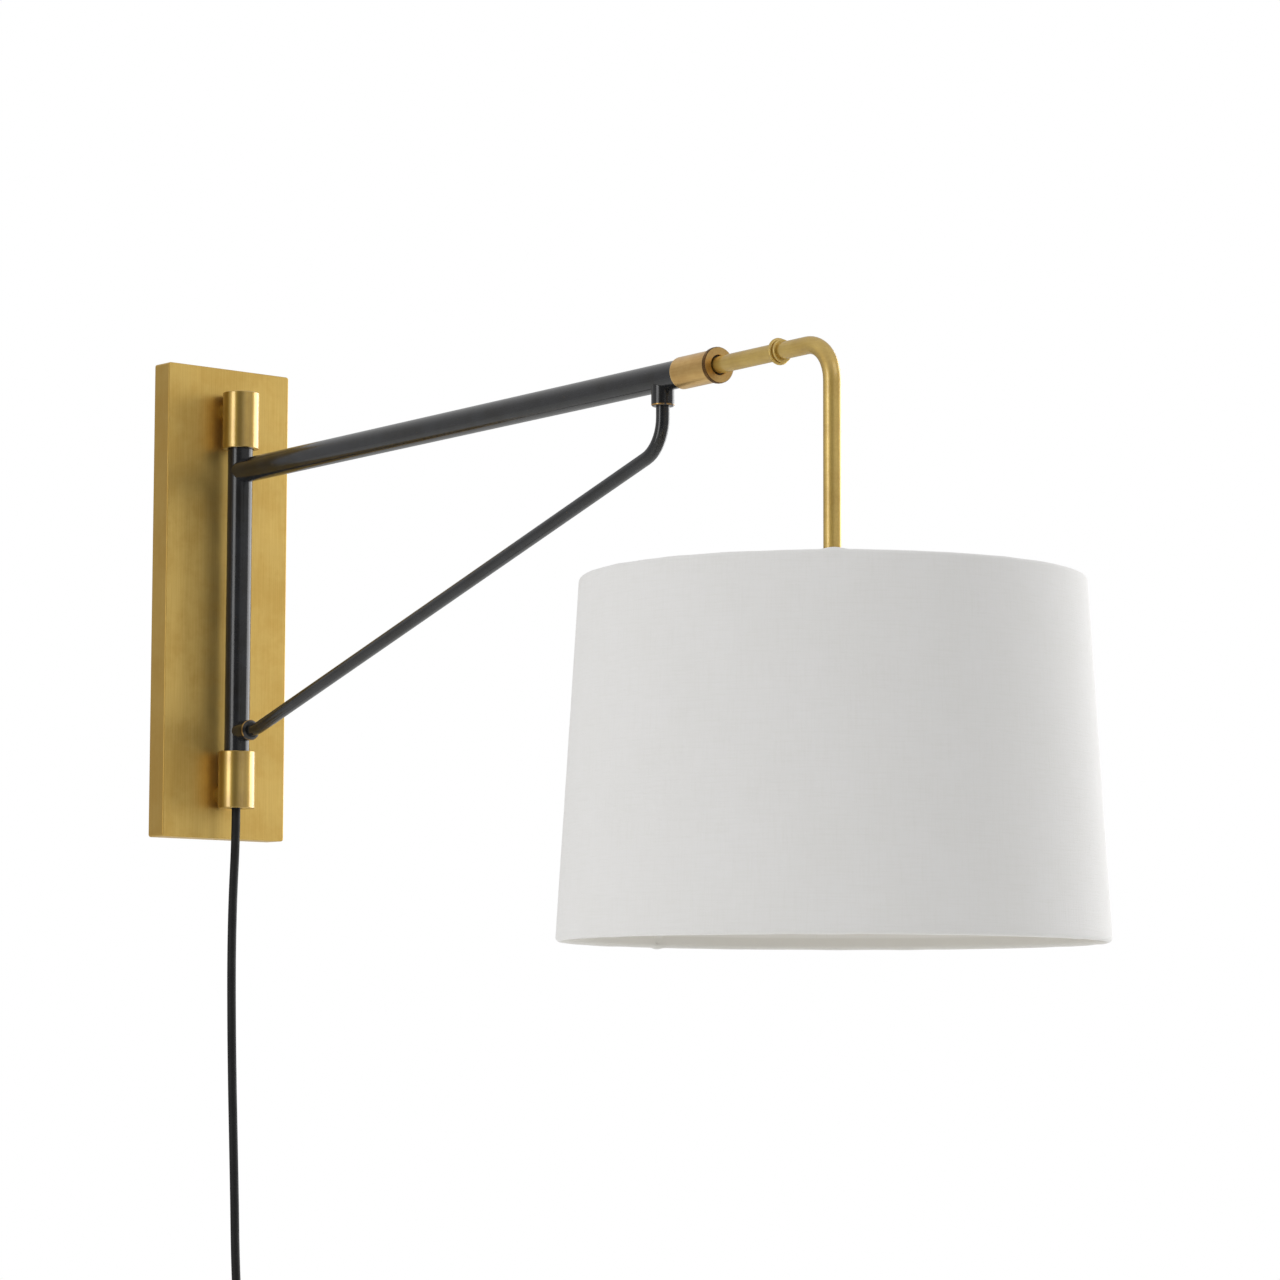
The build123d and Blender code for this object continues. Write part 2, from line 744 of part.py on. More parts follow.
with BuildPart() as switch_knob:
    with BuildSketch(knob_plane.offset(knob_shaft_start)):
        Circle(knob_shaft)
    extrude(amount=knob_start - knob_shaft_start)
    with BuildSketch(knob_plane.offset(knob_start)):
        Circle(knob_radius)
        with PolarLocations(knob_radius + knob_flute_depth, knob_flutes):
            Circle(knob_flute_radius, mode=Mode.SUBTRACT)
    extrude(amount=knob_end - knob_start)
    fillet(switch_knob.faces().sort_by(Axis(lamp_foot, left))[-1].edges(), knob_round)
switch_knob.part.label = "switch_knob"
export_step(switch_knob.part, "parts/switch_knob.step")

hub_top = flange_top - flange_height
with BuildPart() as shade_nut:
    with BuildSketch(level(lamp_foot, hub_top - hub_height)):
        Circle(uno_radius)
        with PolarLocations(uno_radius, uno_notches):
            Circle(uno_notch_radius, mode=Mode.SUBTRACT)
        Circle(holder_radius, mode=Mode.SUBTRACT)
    extrude(amount=-uno_height)
shade_nut.part.label = "shade_nut"
export_step(shade_nut.part, "parts/shade_nut.step")

# --- bulb -----------------------------------------------------------------------------------

with BuildPart() as bulb_base:
    with BuildSketch(lamp_plane):
        with BuildLine():
            Polyline(
                (0, bulb_tip),
                (tip_radius, bulb_tip),
                (tip_radius, tip_bottom),
                (glass_ring_radius, glass_ring_bottom),
                (base_shoulder, base_top),
                (base_radius, base_full_top),
                (base_radius, base_bottom),
                (0, base_bottom),
                close=True,
            )
        make_face()
    revolve(axis=lamp_axis)
bulb_base.part.label = "bulb_base"
export_step(bulb_base.part, "parts/bulb_base.step")

neck_bottom = base_bottom - neck_height
with BuildPart() as bulb_collar:
    with BuildSketch(lamp_plane):
        with BuildLine():
            Line((0, base_bottom), (neck_top_radius, base_bottom))
            RadiusArc((neck_top_radius, base_bottom), (neck_radius, neck_bottom), neck_curve)
            Line((neck_radius, neck_bottom), (0, neck_bottom))
            Line((0, neck_bottom), (0, base_bottom))
        make_face()
    revolve(axis=lamp_axis)
bulb_collar.part.label = "bulb_collar"
export_step(bulb_collar.part, "parts/bulb_collar.step")

tangent_height = globe_middle + sqrt(globe_radius ** 2 - globe_tangent ** 2)
globe_bottom = globe_middle - globe_radius
inside_tangent = (globe_tangent - globe_wall, tangent_height)
inside_neck = (neck_radius - neck_wall, neck_bottom - globe_wall)
with BuildPart() as bulb_globe:
    with BuildSketch(lamp_plane):
        with BuildLine():
            Line((0, neck_bottom), (neck_radius, neck_bottom))
            Line((neck_radius, neck_bottom), (globe_tangent, tangent_height))
            RadiusArc((globe_tangent, tangent_height), (0, globe_bottom), globe_radius)
            Line((0, globe_bottom), (0, globe_bottom + globe_wall))
            RadiusArc((0, globe_bottom + globe_wall), inside_tangent, globe_wall - globe_radius)
            Line(inside_tangent, inside_neck)
            Line(inside_neck, (0, neck_bottom - globe_wall))
            Line((0, neck_bottom - globe_wall), (0, neck_bottom))
        make_face()
    revolve(axis=lamp_axis)
bulb_globe.part.label = "bulb_globe"
export_step(bulb_globe.part, "parts/bulb_globe.step")

# --- shade ----------------------------------------------------------------------------------

shade_slope = (shade_bottom_radius - shade_top_radius) / (shade_top - shade_bottom)


def wall_radius(height, inset):
    """The radius of the shade's cone at a height, a distance inside its outer face."""
    return shade_top_radius + (shade_top - height) * shade_slope - inset


# the cloth is rolled over a wire at each end, so the wires sit a roll inside the shade's edges
seat_radius = wire_radius + wire_gap
hem_roll = seat_radius + hem_cloth
skin = linen + liner
top_wire = (wall_radius(shade_top - hem_roll, hem_roll), shade_top - hem_roll)
bottom_wire = (wall_radius(shade_bottom + hem_roll, hem_roll), shade_bottom + hem_roll)
skin_top = top_wire[1] - hem_outside
skin_bottom = bottom_wire[1] + hem_outside

for layer, outside, inside in (("shade_linen", 0, linen), ("shade_liner", linen, skin)):
    with BuildPart() as cone:
        with BuildSketch(lamp_plane):
            with BuildLine():
                Polyline(
                    (wall_radius(skin_top, outside), skin_top),
                    (wall_radius(skin_bottom, outside), skin_bottom),
                    (wall_radius(skin_bottom, inside), skin_bottom),
                    (wall_radius(skin_top, inside), skin_top),
                    close=True,
                )
            make_face()
        revolve(axis=lamp_axis)
    cone.part.label = layer
    export_step(cone.part, f"parts/{layer}.step")

for end, wire in (("top", top_wire), ("bottom", bottom_wire)):
    with BuildPart() as wire_ring:
        with BuildSketch(lamp_plane):
            with Locations(wire):
                Circle(wire_radius)
        revolve(axis=lamp_axis)
    wire_ring.part.label = f"{end}_wire_ring"
    export_step(wire_ring.part, f"parts/{end}_wire_ring.step")

with BuildPart() as spider_hub:
    with BuildSketch(level(lamp_foot, hub_top - hub_height)):
        Circle(hub_radius)
        Circle(holder_radius + hub_clearance, mode=Mode.SUBTRACT)
    extrude(amount=hub_height)
spider_hub.part.label = "spider_hub"
export_step(spider_hub.part, "parts/spider_hub.step")

# three wire legs, each welded to the hub's rim and to the top wire
leg_height = hub_top - hub_height / 2
with BuildPart() as spider_legs:
    for leg in range(leg_count):
        turn = radians(rest_swing - leg_turn + leg * 360 / leg_count)
        leg_out = Vector(sin(turn), -cos(turn), 0)
        leg_plane = Plane(origin=lamp_foot, x_dir=leg_out, z_dir=leg_out.cross(up))
        with BuildLine(leg_plane) as leg_line:
            FilletPolyline((leg_start, leg_height), (leg_flat, leg_height), top_wire, radius=leg_bend)
        with BuildSketch(Plane(origin=lamp_foot + leg_out * leg_start + up * leg_height, z_dir=leg_out)):
            Circle(leg_radius)
        sweep(path=leg_line.line)
    with BuildSketch(level(lamp_foot, leg_height - hub_height)):
        Circle(hub_radius)
    extrude(amount=2 * hub_height, mode=Mode.SUBTRACT)
    with BuildSketch(lamp_plane):
        with Locations(top_wire):
            Circle(wire_radius)
    revolve(axis=lamp_axis, mode=Mode.SUBTRACT)
spider_legs.part.label = "spider_legs"
export_step(spider_legs.part, "parts/spider_legs.step")

# the hems: cloth from the shade's outside, round the wire and down to the lining
for end, wire, way in (("top", top_wire, 1), ("bottom", bottom_wire, -1)):
    middle, height = wire
    outer_end = height - way * hem_outside
    inner_end = height - way * hem_inside
    roll_top = (middle, height + way * hem_roll)
    roll = [(middle + hem_roll, height), roll_top, (middle - hem_roll, height)]
    fold_end = [(wall_radius(inner_end, inset), inner_end) for inset in (skin + hem_cloth, skin)]
    seat_top = (middle, height + way * seat_radius)
    seat = [(middle - seat_radius, height), seat_top, (middle + seat_radius, height)]
    cloth_end = [(wall_radius(outer_end, inset), outer_end) for inset in (hem_cloth, 0)]
    with BuildPart() as hem:
        with BuildSketch(lamp_plane):
            with BuildLine():
                ThreePointArc(*roll)
                Line(roll[-1], fold_end[0])
                Line(*fold_end)
                Line(fold_end[-1], seat[0])
                ThreePointArc(*seat)
                Line(seat[-1], cloth_end[0])
                Line(*cloth_end)
                Line(cloth_end[-1], roll[0])
            make_face()
        revolve(axis=lamp_axis)
        if end == "top":
            add(spider_legs.part, mode=Mode.SUBTRACT)
    hem.part.label = f"{end}_hem"
    export_step(hem.part, f"parts/{end}_hem.step")

# --- cord, coil and plug --------------------------------------------------------------------


def corner_radii(route):
    """For each corner of a route, the largest bend that keeps to its share of the shorter run."""
    points = [Vector(point) for point in route]
    runs = [after - before for before, after in zip(points, points[1:])]
    turns = [first.get_angle(second) for first, second in zip(runs, runs[1:])]
    shorter = [min(first.length, second.length) for first, second in zip(runs, runs[1:])]
    return [bend_share * run / tan(radians(turn) / 2) for run, turn in zip(shorter, turns)]


for name, route in (("cord_lead", cord_route), ("cord_tail", tail_route)):
    radii = corner_radii(route)
    with BuildPart() as tube:
        with BuildLine():
            path = FilletPolyline(*route, radius=radii)
        with BuildSketch(Plane(origin=route[0], z_dir=path % 0)):
            Circle(cord_radius)
        sweep(path=path)
    filled = tube.part.volume / (pi * cord_radius ** 2 * path.length)
    print(name, "length", round(path.length), "tightest bend", round(min(radii)), "filled", round(filled, 4))
    tube.part.label = name
    export_step(tube.part, f"parts/{name}.step")


def coil_section(turn, growth, hollow):
    """The coil's rounded square section, a turn clockwise from its top, grown by a wall."""
    way_out = Vector(sin(radians(turn)), 0, cos(radians(turn)))
    section_plane = Plane(origin=coil_centre, x_dir=way_out, z_dir=way_out.cross(Vector(0, 1, 0)))
    with BuildSketch(section_plane) as section:
        with Locations((coil_radius, 0)):
            RectangleRounded(coil_bundle + 2 * growth, coil_bundle + 2 * growth, cord_radius + growth)
            if hollow:
                RectangleRounded(coil_bundle, coil_bundle, cord_radius, mode=Mode.SUBTRACT)
    return section.sketch


coil_axis = Axis(coil_centre, (0, 1, 0))

with BuildPart() as cord_coil:
    add(coil_section(0, 0, False))
    revolve(axis=coil_axis)
cord_coil.part.label = "cord_coil"
export_step(cord_coil.part, "parts/cord_coil.step")

with BuildPart() as cord_tie:
    add(coil_section(tie_start, tie_wall, True))
    revolve(axis=coil_axis, revolution_arc=tie_angle)
cord_tie.part.label = "cord_tie"
export_step(cord_tie.part, "parts/cord_tie.step")

plug_top = Vector(tail_route[-1])
with BuildPart() as plug_body:
    with BuildSketch(Plane(origin=plug_top, z_dir=(0, 0, -1))):
        Circle(plug_relief_start)
    with BuildSketch(Plane(origin=plug_top - up * plug_relief, z_dir=(0, 0, -1))):
        Circle(plug_relief_end)
    loft()
    with BuildSketch(Plane(origin=plug_top - up * plug_relief, z_dir=(0, 0, -1))):
        RectangleRounded(plug_width, plug_depth, plug_edge)
    extrude(amount=plug_length)
    fillet(plug_body.edges().filter_by(GeomType.LINE).group_by(Axis.Z)[-1], plug_round)
plug_body.part.label = "plug_body"
export_step(plug_body.part, "parts/plug_body.step")

with BuildPart() as plug_blades:
    with BuildSketch(Plane(origin=plug_top - up * (plug_relief + plug_length), z_dir=(0, 0, -1))):
        with Locations((blade_spacing / 2, 0), (-blade_spacing / 2, 0)):
            Rectangle(blade_thickness, blade_width)
    extrude(amount=blade_length)
    chamfer(plug_blades.faces().sort_by(Axis.Z)[:2].edges(), blade_chamfer)
plug_blades.part.label = "plug_blades"
export_step(plug_blades.part, "parts/plug_blades.step")
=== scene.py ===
import bpy
import json
from math import atan2, cos, pi, radians, sin
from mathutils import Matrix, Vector, noise


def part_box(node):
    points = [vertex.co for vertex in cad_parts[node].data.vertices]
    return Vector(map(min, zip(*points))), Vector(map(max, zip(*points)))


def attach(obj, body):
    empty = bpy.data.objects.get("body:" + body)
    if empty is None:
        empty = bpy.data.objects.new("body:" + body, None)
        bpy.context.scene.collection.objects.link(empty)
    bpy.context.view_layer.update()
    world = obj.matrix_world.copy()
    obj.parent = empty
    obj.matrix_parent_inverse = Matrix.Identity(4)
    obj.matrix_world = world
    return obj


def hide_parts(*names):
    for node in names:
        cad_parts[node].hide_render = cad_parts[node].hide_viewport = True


# The looks of a swing arm wall light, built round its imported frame. Metres, the wall at y = 0, the
# room towards -Y, +Z up. An angle round a vertical axis is 0 towards the room.

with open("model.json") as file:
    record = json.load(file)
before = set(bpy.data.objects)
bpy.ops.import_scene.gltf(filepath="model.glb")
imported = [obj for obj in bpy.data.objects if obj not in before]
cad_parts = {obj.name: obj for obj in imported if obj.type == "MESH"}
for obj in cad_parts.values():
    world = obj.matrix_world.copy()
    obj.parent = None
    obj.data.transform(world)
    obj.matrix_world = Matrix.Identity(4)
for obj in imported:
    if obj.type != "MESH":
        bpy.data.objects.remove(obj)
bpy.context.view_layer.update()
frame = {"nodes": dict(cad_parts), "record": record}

mm = 0.001


def middle(node):
    """The middle of a CAD node's box."""
    low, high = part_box(node)
    return (Vector(low) + Vector(high)) / 2


hinge = middle("pivot_tube")
bulb_middle = middle("bulb_globe")
lamp_x, lamp_y = bulb_middle.x, bulb_middle.y
arm_out = Vector((lamp_x - hinge.x, lamp_y - hinge.y, 0)).normalized()
arm_height = middle("arm_tube").z
arm_turn = atan2(arm_out.x, -arm_out.y)

# --- camera ---------------------------------------------------------------------------------

camera_azimuth = radians(-40.735)
camera_elevation = radians(-5.8)
camera_roll = radians(0.157)
camera_distance = 3.2438
camera_target = Vector((0.298, -0.1497, -0.01756))
camera_lens = 117.64
camera_sensor = 36.0


def direction(azimuth, elevation):
    """The unit vector from the object towards an azimuth, 0 being the room side, and an elevation."""
    level = cos(elevation)
    return Vector((sin(azimuth) * level, -cos(azimuth) * level, sin(elevation)))


def make_camera():
    back = direction(camera_azimuth, camera_elevation)
    data = bpy.data.cameras.new("camera")
    data.lens = camera_lens
    data.sensor_width = camera_sensor
    camera = bpy.data.objects.new("camera", data)
    bpy.context.scene.collection.objects.link(camera)
    camera.location = camera_target + back * camera_distance
    camera.rotation_euler = back.to_track_quat("Z", "Y").to_euler()
    camera.rotation_euler.rotate_axis("Z", camera_roll)
    bpy.context.scene.camera = camera


make_camera()

# --- cord -----------------------------------------------------------------------------------

cord_radius = 3.25 * mm
cord_route = [
    (0.0, -0.034, -0.15575),
    (0.0, -0.034, -0.18),
    (-0.0022, -0.0343, -0.222),
    (-0.0029, -0.0346, -0.266),
    (-0.0023, -0.0348, -0.312),
    (-0.0009, -0.0347, -0.358),
    (0.0009, -0.0346, -0.402),
    (0.0026, -0.0346, -0.446),
    (0.0036, -0.035, -0.488),
    (0.0046, -0.0368, -0.522),
    (0.0132, -0.0396, -0.546),
]
tail_route = [
    (0.041, -0.027, -0.613),
    (0.0406, -0.0273, -0.629),
    (0.0406, -0.0273, -0.645),
]
coil_centre = Vector((-0.0041, -0.034, -0.5941))
coil_radius = 38.0 * mm
coil_points = 24            # for each turn
coil_start = 45.0           # degrees round from the top, clockwise from the front
coil_turns = 7.125
# places in the bundle, outwards and backwards from its middle, in cord diameters
coil_slots = [(1, -1), (0, -1), (-1, -1), (-1, 0), (-1, 1), (0, 1), (0, 0), (1, 0), (1, 1)]
coil_slot_points = 20       # points from one change of place to the next
coil_slot_lead = 5          # how many of them the first place is short of
coil_shift_points = 8       # points over which a strand moves to its next place


def coil_route():
    """Control points of the turns.

    A spline of order 3 passes (6 + 2 cos a) / 8 of the way out to points on a circle, a being the
    angle between two of them, so the points stand that much further out than the turns.
    """
    swell = 8 / (6 + 2 * cos(2 * pi / coil_points))
    points = []
    for step in range(round(coil_turns * coil_points) + 1):
        place, since = divmod(step + coil_slot_lead, coil_slot_points)
        share = 0.5 - 0.5 * cos(pi * min(since / coil_shift_points, 1))
        before, after = coil_slots[max(place - 1, 0)], coil_slots[place]
        outward, backward = (first + (second - first) * share for first, second in zip(before, after))
        turn = radians(coil_start + step * 360 / coil_points)
        reach = (coil_radius + outward * 2 * cord_radius) * swell
        way = Vector((sin(turn), 0, cos(turn)))
        points.append(coil_centre + way * reach + Vector((0, backward * 2 * cord_radius, 0)))
    return points


def curve_through(name, points, radius):
    """A round cord on a smooth line with these control points."""
    data = bpy.data.curves.new(name, "CURVE")
    data.dimensions = "3D"
    spline = data.splines.new("NURBS")
    spline.points.add(len(points) - 1)
    for knot, point in zip(spline.points, points):
        knot.co = (*point, 1)
        knot.radius = radius
    spline.order_u = 3
    spline.use_endpoint_u = True
    spline.resolution_u = 6
    data.bevel_depth = 1.0
    data.bevel_resolution = 8
    data.use_fill_caps = True
    piece = bpy.data.objects.new(name, data)
    bpy.context.scene.collection.objects.link(piece)
    return piece


power_cord = curve_through("power_cord", cord_route + coil_route() + tail_route, cord_radius)
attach(power_cord, "wall")
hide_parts("cord_lead", "cord_coil", "cord_tail")

# --- pieces with shapes that the CAD leaves plain -------------------------------------------

sharp_edge = radians(38)


def mesh_piece(name, points, faces, body, slot, node, *also):
    """A mesh in place of one or more CAD nodes, smooth but for its sharp edges."""
    data = bpy.data.meshes.new(name)
    data.from_pydata([tuple(point) for point in points], [], faces)
    data.validate()
    piece = bpy.data.objects.new(name, data)
    bpy.context.scene.collection.objects.link(piece)
    data.set_sharp_from_angle(angle=sharp_edge)
    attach(piece, body)
    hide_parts(node, *also)
    return piece


def ring_faces(rings, count):
    """Faces of a torus: rings of count points, joined each to the next and the last to the first."""
    faces = []
    for ring in range(rings):
        after = (ring + 1) % rings
        for step in range(count):
            beside = (step + 1) % count
            corners = ((ring, step), (ring, beside), (after, beside), (after, step))
            faces.append(tuple(row * count + place for row, place in corners))
    return faces


def tube_faces(rings, count):
    """Faces of a capped stack of rings."""
    faces = ring_faces(rings, count)[: (rings - 1) * count]
    faces.append(tuple(reversed(range(count))))
    faces.append(tuple(range((rings - 1) * count, rings * count)))
    return faces


def bell(value, width):
    """1 at nothing, falling smoothly to nothing over the width each side."""
    return max(0.0, 1 - (value / width) ** 2) ** 2


def angle_from(turn, centre):
    """How far a turn is from another, in radians, the short way round."""
    return (turn - centre + pi) % (2 * pi) - pi


# the linen: one sheet on the outside of the shade, rolled over a wire at each end and turned in

shade_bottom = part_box("bottom_hem")[0][2]
shade_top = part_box("top_hem")[1][2]
hem_roll = 2.4 * mm
linen_thickness = 0.6 * mm
lining_thickness = 0.8 * mm
fold_length = 8.0 * mm
top_wire_height = shade_top - hem_roll
bottom_wire_height = shade_bottom + hem_roll
shade_top_radius = 154.8 * mm
shade_bottom_radius = 168.2 * mm
shade_slope = (shade_bottom_radius - shade_top_radius) / (shade_top - shade_bottom)
leg_turns = [radians(-43 + 120 * leg) for leg in range(3)]
leg_lift = 1.3 * mm         # how far each spider leg pushes the top roll up
leg_spread = 9.5 * mm       # how far to each side the push is seen
seam_turn = radians(179)    # at the back, where the two ends of the cloth lap
seam_width = 9.0 * mm
seam_drop = 0.9 * mm        # how far the lap thickens the bottom roll
seam_spread = 6.0 * mm
shade_steps = 540
wall_rows = 40
roll_rows = 10


def wall_radius(height, inset=0.0):
    """The shade's radius at a height, less an inset."""
    return shade_top_radius + (shade_top - height) * shade_slope - inset


def linen_profile(inset):
    """Rows from the top fold to the bottom one: radius, height, and how fully the top roll and the
    bottom roll swell there."""
    fold_inset = 2 * linen_thickness + lining_thickness - inset
    radius = hem_roll - inset
    top_middle = wall_radius(top_wire_height, hem_roll)
    bottom_middle = wall_radius(bottom_wire_height, hem_roll)
    fold_top, fold_bottom = top_wire_height - fold_length, bottom_wire_height + fold_length
    rows = [(wall_radius(fold_top, fold_inset), fold_top, 0.0, 0.0)]
    for row in range(roll_rows + 1):
        turn = pi - pi * row / roll_rows
        out, up = radius * cos(turn), radius * sin(turn)
        rows.append((top_middle + out, top_wire_height + up, sin(turn), 0.0))
    for row in range(1, wall_rows):
        height = top_wire_height + (bottom_wire_height - top_wire_height) * row / wall_rows
        rows.append((wall_radius(height, inset), height, 0.0, 0.0))
    for row in range(roll_rows + 1):
        turn = -pi * row / roll_rows
        out, up = radius * cos(turn), radius * sin(turn)
        rows.append((bottom_middle + out, bottom_wire_height + up, 0.0, -sin(turn)))
    rows.append((wall_radius(fold_bottom, fold_inset), fold_bottom, 0.0, 0.0))
    return rows


def unevenness(turn, tightness, layer, size):
    """Smooth noise round the shade, the same on every run: how tight it is, its layer and its size."""
    return noise.noise(Vector((sin(turn) * tightness, cos(turn) * tightness, layer))) * size


def make_linen_cover():
    """Both skins of the cloth, outside then inside, joined at the two folds."""
    outside = [(*row, 1.0) for row in linen_profile(0.0)]
    inside = [(*row, 0.0) for row in reversed(linen_profile(linen_thickness))]
    points = []
    for radius, height, top_swell, bottom_swell, outer in outside + inside:
        for step in range(shade_steps):
            turn = 2 * pi * step / shade_steps
            wander = unevenness(turn, 2.2, height * 14, 0.22 * mm)
            wander += unevenness(turn, 11.0, height * 70, 0.09 * mm)
            lift = unevenness(turn, 9.0, 4.0, 0.28 * mm)
            for leg_turn in leg_turns:
                lift += leg_lift * bell(angle_from(turn, leg_turn) * radius, leg_spread)
            seam = angle_from(turn, seam_turn) * radius
            drop = unevenness(turn, 9.0, 9.0, 0.25 * mm) + seam_drop * bell(seam, seam_spread)
            overlap = outer * linen_thickness * (abs(seam) < seam_width / 2)
            reach = radius + wander + overlap
            points.append((
                lamp_x + sin(turn) * reach,
                lamp_y - cos(turn) * reach,
                height + lift * top_swell - drop * bottom_swell,
            ))
    faces = ring_faces(len(outside) + len(inside), shade_steps)
    return mesh_piece("linen_cover", points, faces, "lamp", "linen", "shade_linen", "top_hem", "bottom_hem")


linen_cover = make_linen_cover()

# the lock ring, with diamond knurling round its rim

ring_back = 598.0 * mm      # along the arm, from the hinge
ring_step = 600.2 * mm      # where the sleeve's nose ends inside it
ring_front = 601.7 * mm
ring_radius = 11.9 * mm
ring_edge = 0.55 * mm       # the rim's rounding
ring_break = 0.35 * mm      # the hole's rounding
ring_hole = 6.4 * mm
nose_radius = 8.85 * mm
nose_break = 0.3 * mm
knurls = 62
knurl_steps = 8             # points round each knurl
knurl_rows = 16
knurl_depth = 0.42 * mm
arm_left = Vector((arm_out.y, -arm_out.x, 0))
ring_centre = Vector((hinge.x, hinge.y, arm_height))


def ring_profile():
    """Reach along the arm and radius, from inside the back, over the rim and into the hole."""
    knurled = ring_front - ring_back - 2 * ring_edge
    rows = [(ring_step, nose_radius), (ring_back + nose_break, nose_radius)]
    rows += [(ring_back, nose_radius + nose_break), (ring_back, ring_radius - ring_edge)]
    rows += [(ring_back + ring_edge / 2, ring_radius - ring_edge / 4)]
    for row in range(knurl_rows + 1):
        rows.append((ring_back + ring_edge + knurled * row / knurl_rows, ring_radius))
    rows += [(ring_front - ring_edge / 2, ring_radius - ring_edge / 4)]
    rows += [(ring_front, ring_radius - ring_edge)]
    rows += [(ring_front, ring_hole + ring_break), (ring_front - ring_break, ring_hole)]
    rows += [(ring_step, ring_hole)]
    return rows


def make_knurled_ring():
    """The rim is cut by two sets of slanted grooves, which leave diamonds between them."""
    rows = ring_profile()
    count = knurls * knurl_steps
    knurl_pitch = 2 * pi * ring_radius / knurls
    points = []
    for reach, radius in rows:
        on_rim = radius > ring_radius - ring_edge / 2
        along = (reach - ring_back) / knurl_pitch
        for step in range(count):
            turn = 2 * pi * step / count
            first = abs(((step / knurl_steps + along) % 1.0) * 2 - 1)
            second = abs(((step / knurl_steps - along) % 1.0) * 2 - 1)
            cut = knurl_depth * (1 - min(first, second)) if on_rim else 0.0
            way = arm_left * sin(turn) + Vector((0, 0, 1)) * cos(turn)
            points.append(ring_centre + arm_out * reach + way * (radius - cut))
    faces = ring_faces(len(rows), count)
    return mesh_piece("knurled_ring", points, faces, "lock_ring", "sleeve_brass", "lock_ring")


knurled_ring = make_knurled_ring()

# the plug: a ribbed relief that runs into a flattened grip

plug_top = Vector(tail_route[-1])
plug_steps = 48
relief_length = 22.0 * mm
relief_rows = 44
relief_start = 4.0 * mm     # the relief's radius at the cord, and how much it grows to the grip
relief_growth = 1.9 * mm
relief_plain = 2.0 * mm     # no ribs this near to its ends
rib_height = 0.35 * mm
rib_pitch = 3.6 * mm
grip_sections = [           # drop, half width and half depth in mm, and the power of the corners
    (22.6, 7.6, 6.2, 2.6), (23.6, 9.6, 6.9, 3.2), (25.4, 10.9, 7.2, 3.8), (28.0, 11.4, 7.0, 4.0),
    (32.0, 11.0, 6.4, 4.0), (36.0, 10.8, 6.3, 4.0), (40.0, 11.2, 6.7, 4.0), (43.5, 11.7, 7.2, 4.0),
    (45.6, 11.9, 7.4, 4.0), (46.6, 11.7, 7.2, 4.0), (47.0, 11.1, 6.6, 4.0),
]


def plug_profile():
    """Drop, half width, half depth, and the power that squares a section's corners: 2 is round."""
    rows = []
    for row in range(relief_rows + 1):
        drop = relief_length * row / relief_rows
        half = relief_start + relief_growth * drop / relief_length
        if relief_plain < drop < relief_length - relief_plain:
            half += rib_height * cos(2 * pi * drop / rib_pitch)
        rows.append((drop, half, half, 2.0))
    for drop, half_width, half_depth, power in grip_sections:
        rows.append((drop * mm, half_width * mm, half_depth * mm, power))
    return rows


def make_plug_moulding():
    rows = plug_profile()
    points = []
    for drop, half_width, half_depth, power in rows:
        for step in range(plug_steps):
            turn = 2 * pi * step / plug_steps
            along, across = cos(turn), sin(turn)
            size = (abs(along) ** power + abs(across) ** power) ** (-1 / power)
            beside, before = along * size * half_width, across * size * half_depth
            points.append(plug_top + Vector((beside, -before, -drop)))
    faces = tube_faces(len(rows), plug_steps)
    return mesh_piece("plug_moulding", points, faces, "wall", "plug_black", "plug_body")


plug_moulding = make_plug_moulding()

# the strap that ties the coil: a band round the bundle, its end lapped over itself

strap_turn = radians(67)    # round the coil from its top
strap_width = 10.4 * mm
strap_thickness = 1.1 * mm
strap_slack = 0.1 * mm
strap_corner = cord_radius + 0.2 * mm
corner_parts = 6            # steps round each corner of the bundle
lap_parts = 8               # steps along the lapped end
lap_share = 0.8             # how much of the bundle's side the lap covers
strap_section = [(-1, 0.0), (-1, 1.0), (-0.5, 1.12), (0.5, 1.12), (1, 1.0), (1, 0.0)]   # side, depth


def make_coil_strap():
    outward = Vector((sin(strap_turn), 0, cos(strap_turn)))
    along = Vector((cos(strap_turn), 0, -sin(strap_turn)))
    backward = Vector((0, 1, 0))
    centre = coil_centre + outward * coil_radius
    flat_half = 3 * cord_radius + strap_slack - strap_corner
    outermost = flat_half + strap_corner
    line = []
    for corner in range(4):
        side_x = flat_half if corner in (0, 3) else -flat_half
        side_y = flat_half if corner in (0, 1) else -flat_half
        for part in range(corner_parts + 1):
            turn = pi / 2 * (corner + part / corner_parts)
            out_way, back_way = cos(turn), sin(turn)
            out_at, back_at = side_x + strap_corner * out_way, side_y + strap_corner * back_way
            line.append((out_at, back_at, out_way, back_way))
    line.append((outermost + strap_thickness * 0.6, -flat_half - 0.8 * mm, 1.0, 0.0))
    for part in range(lap_parts + 1):
        share = part / lap_parts
        rise = strap_thickness * (1.05 + 0.25 * share ** 3)
        line.append((outermost + rise, flat_half * (2 * lap_share * share - 1), 1.0, 0.0))
    points = []
    for out_at, back_at, out_way, back_way in line:
        for side, depth in strap_section:
            thick = strap_thickness * depth
            out_place = outward * (out_at + out_way * thick)
            back_place = backward * (back_at + back_way * thick)
            points.append(centre + out_place + back_place + along * (strap_width / 2 * side))
    faces = tube_faces(len(line), len(strap_section))
    return mesh_piece("coil_strap", points, faces, "wall", "tie_black", "cord_tie")


coil_strap = make_coil_strap()

# --- node materials -------------------------------------------------------------------------


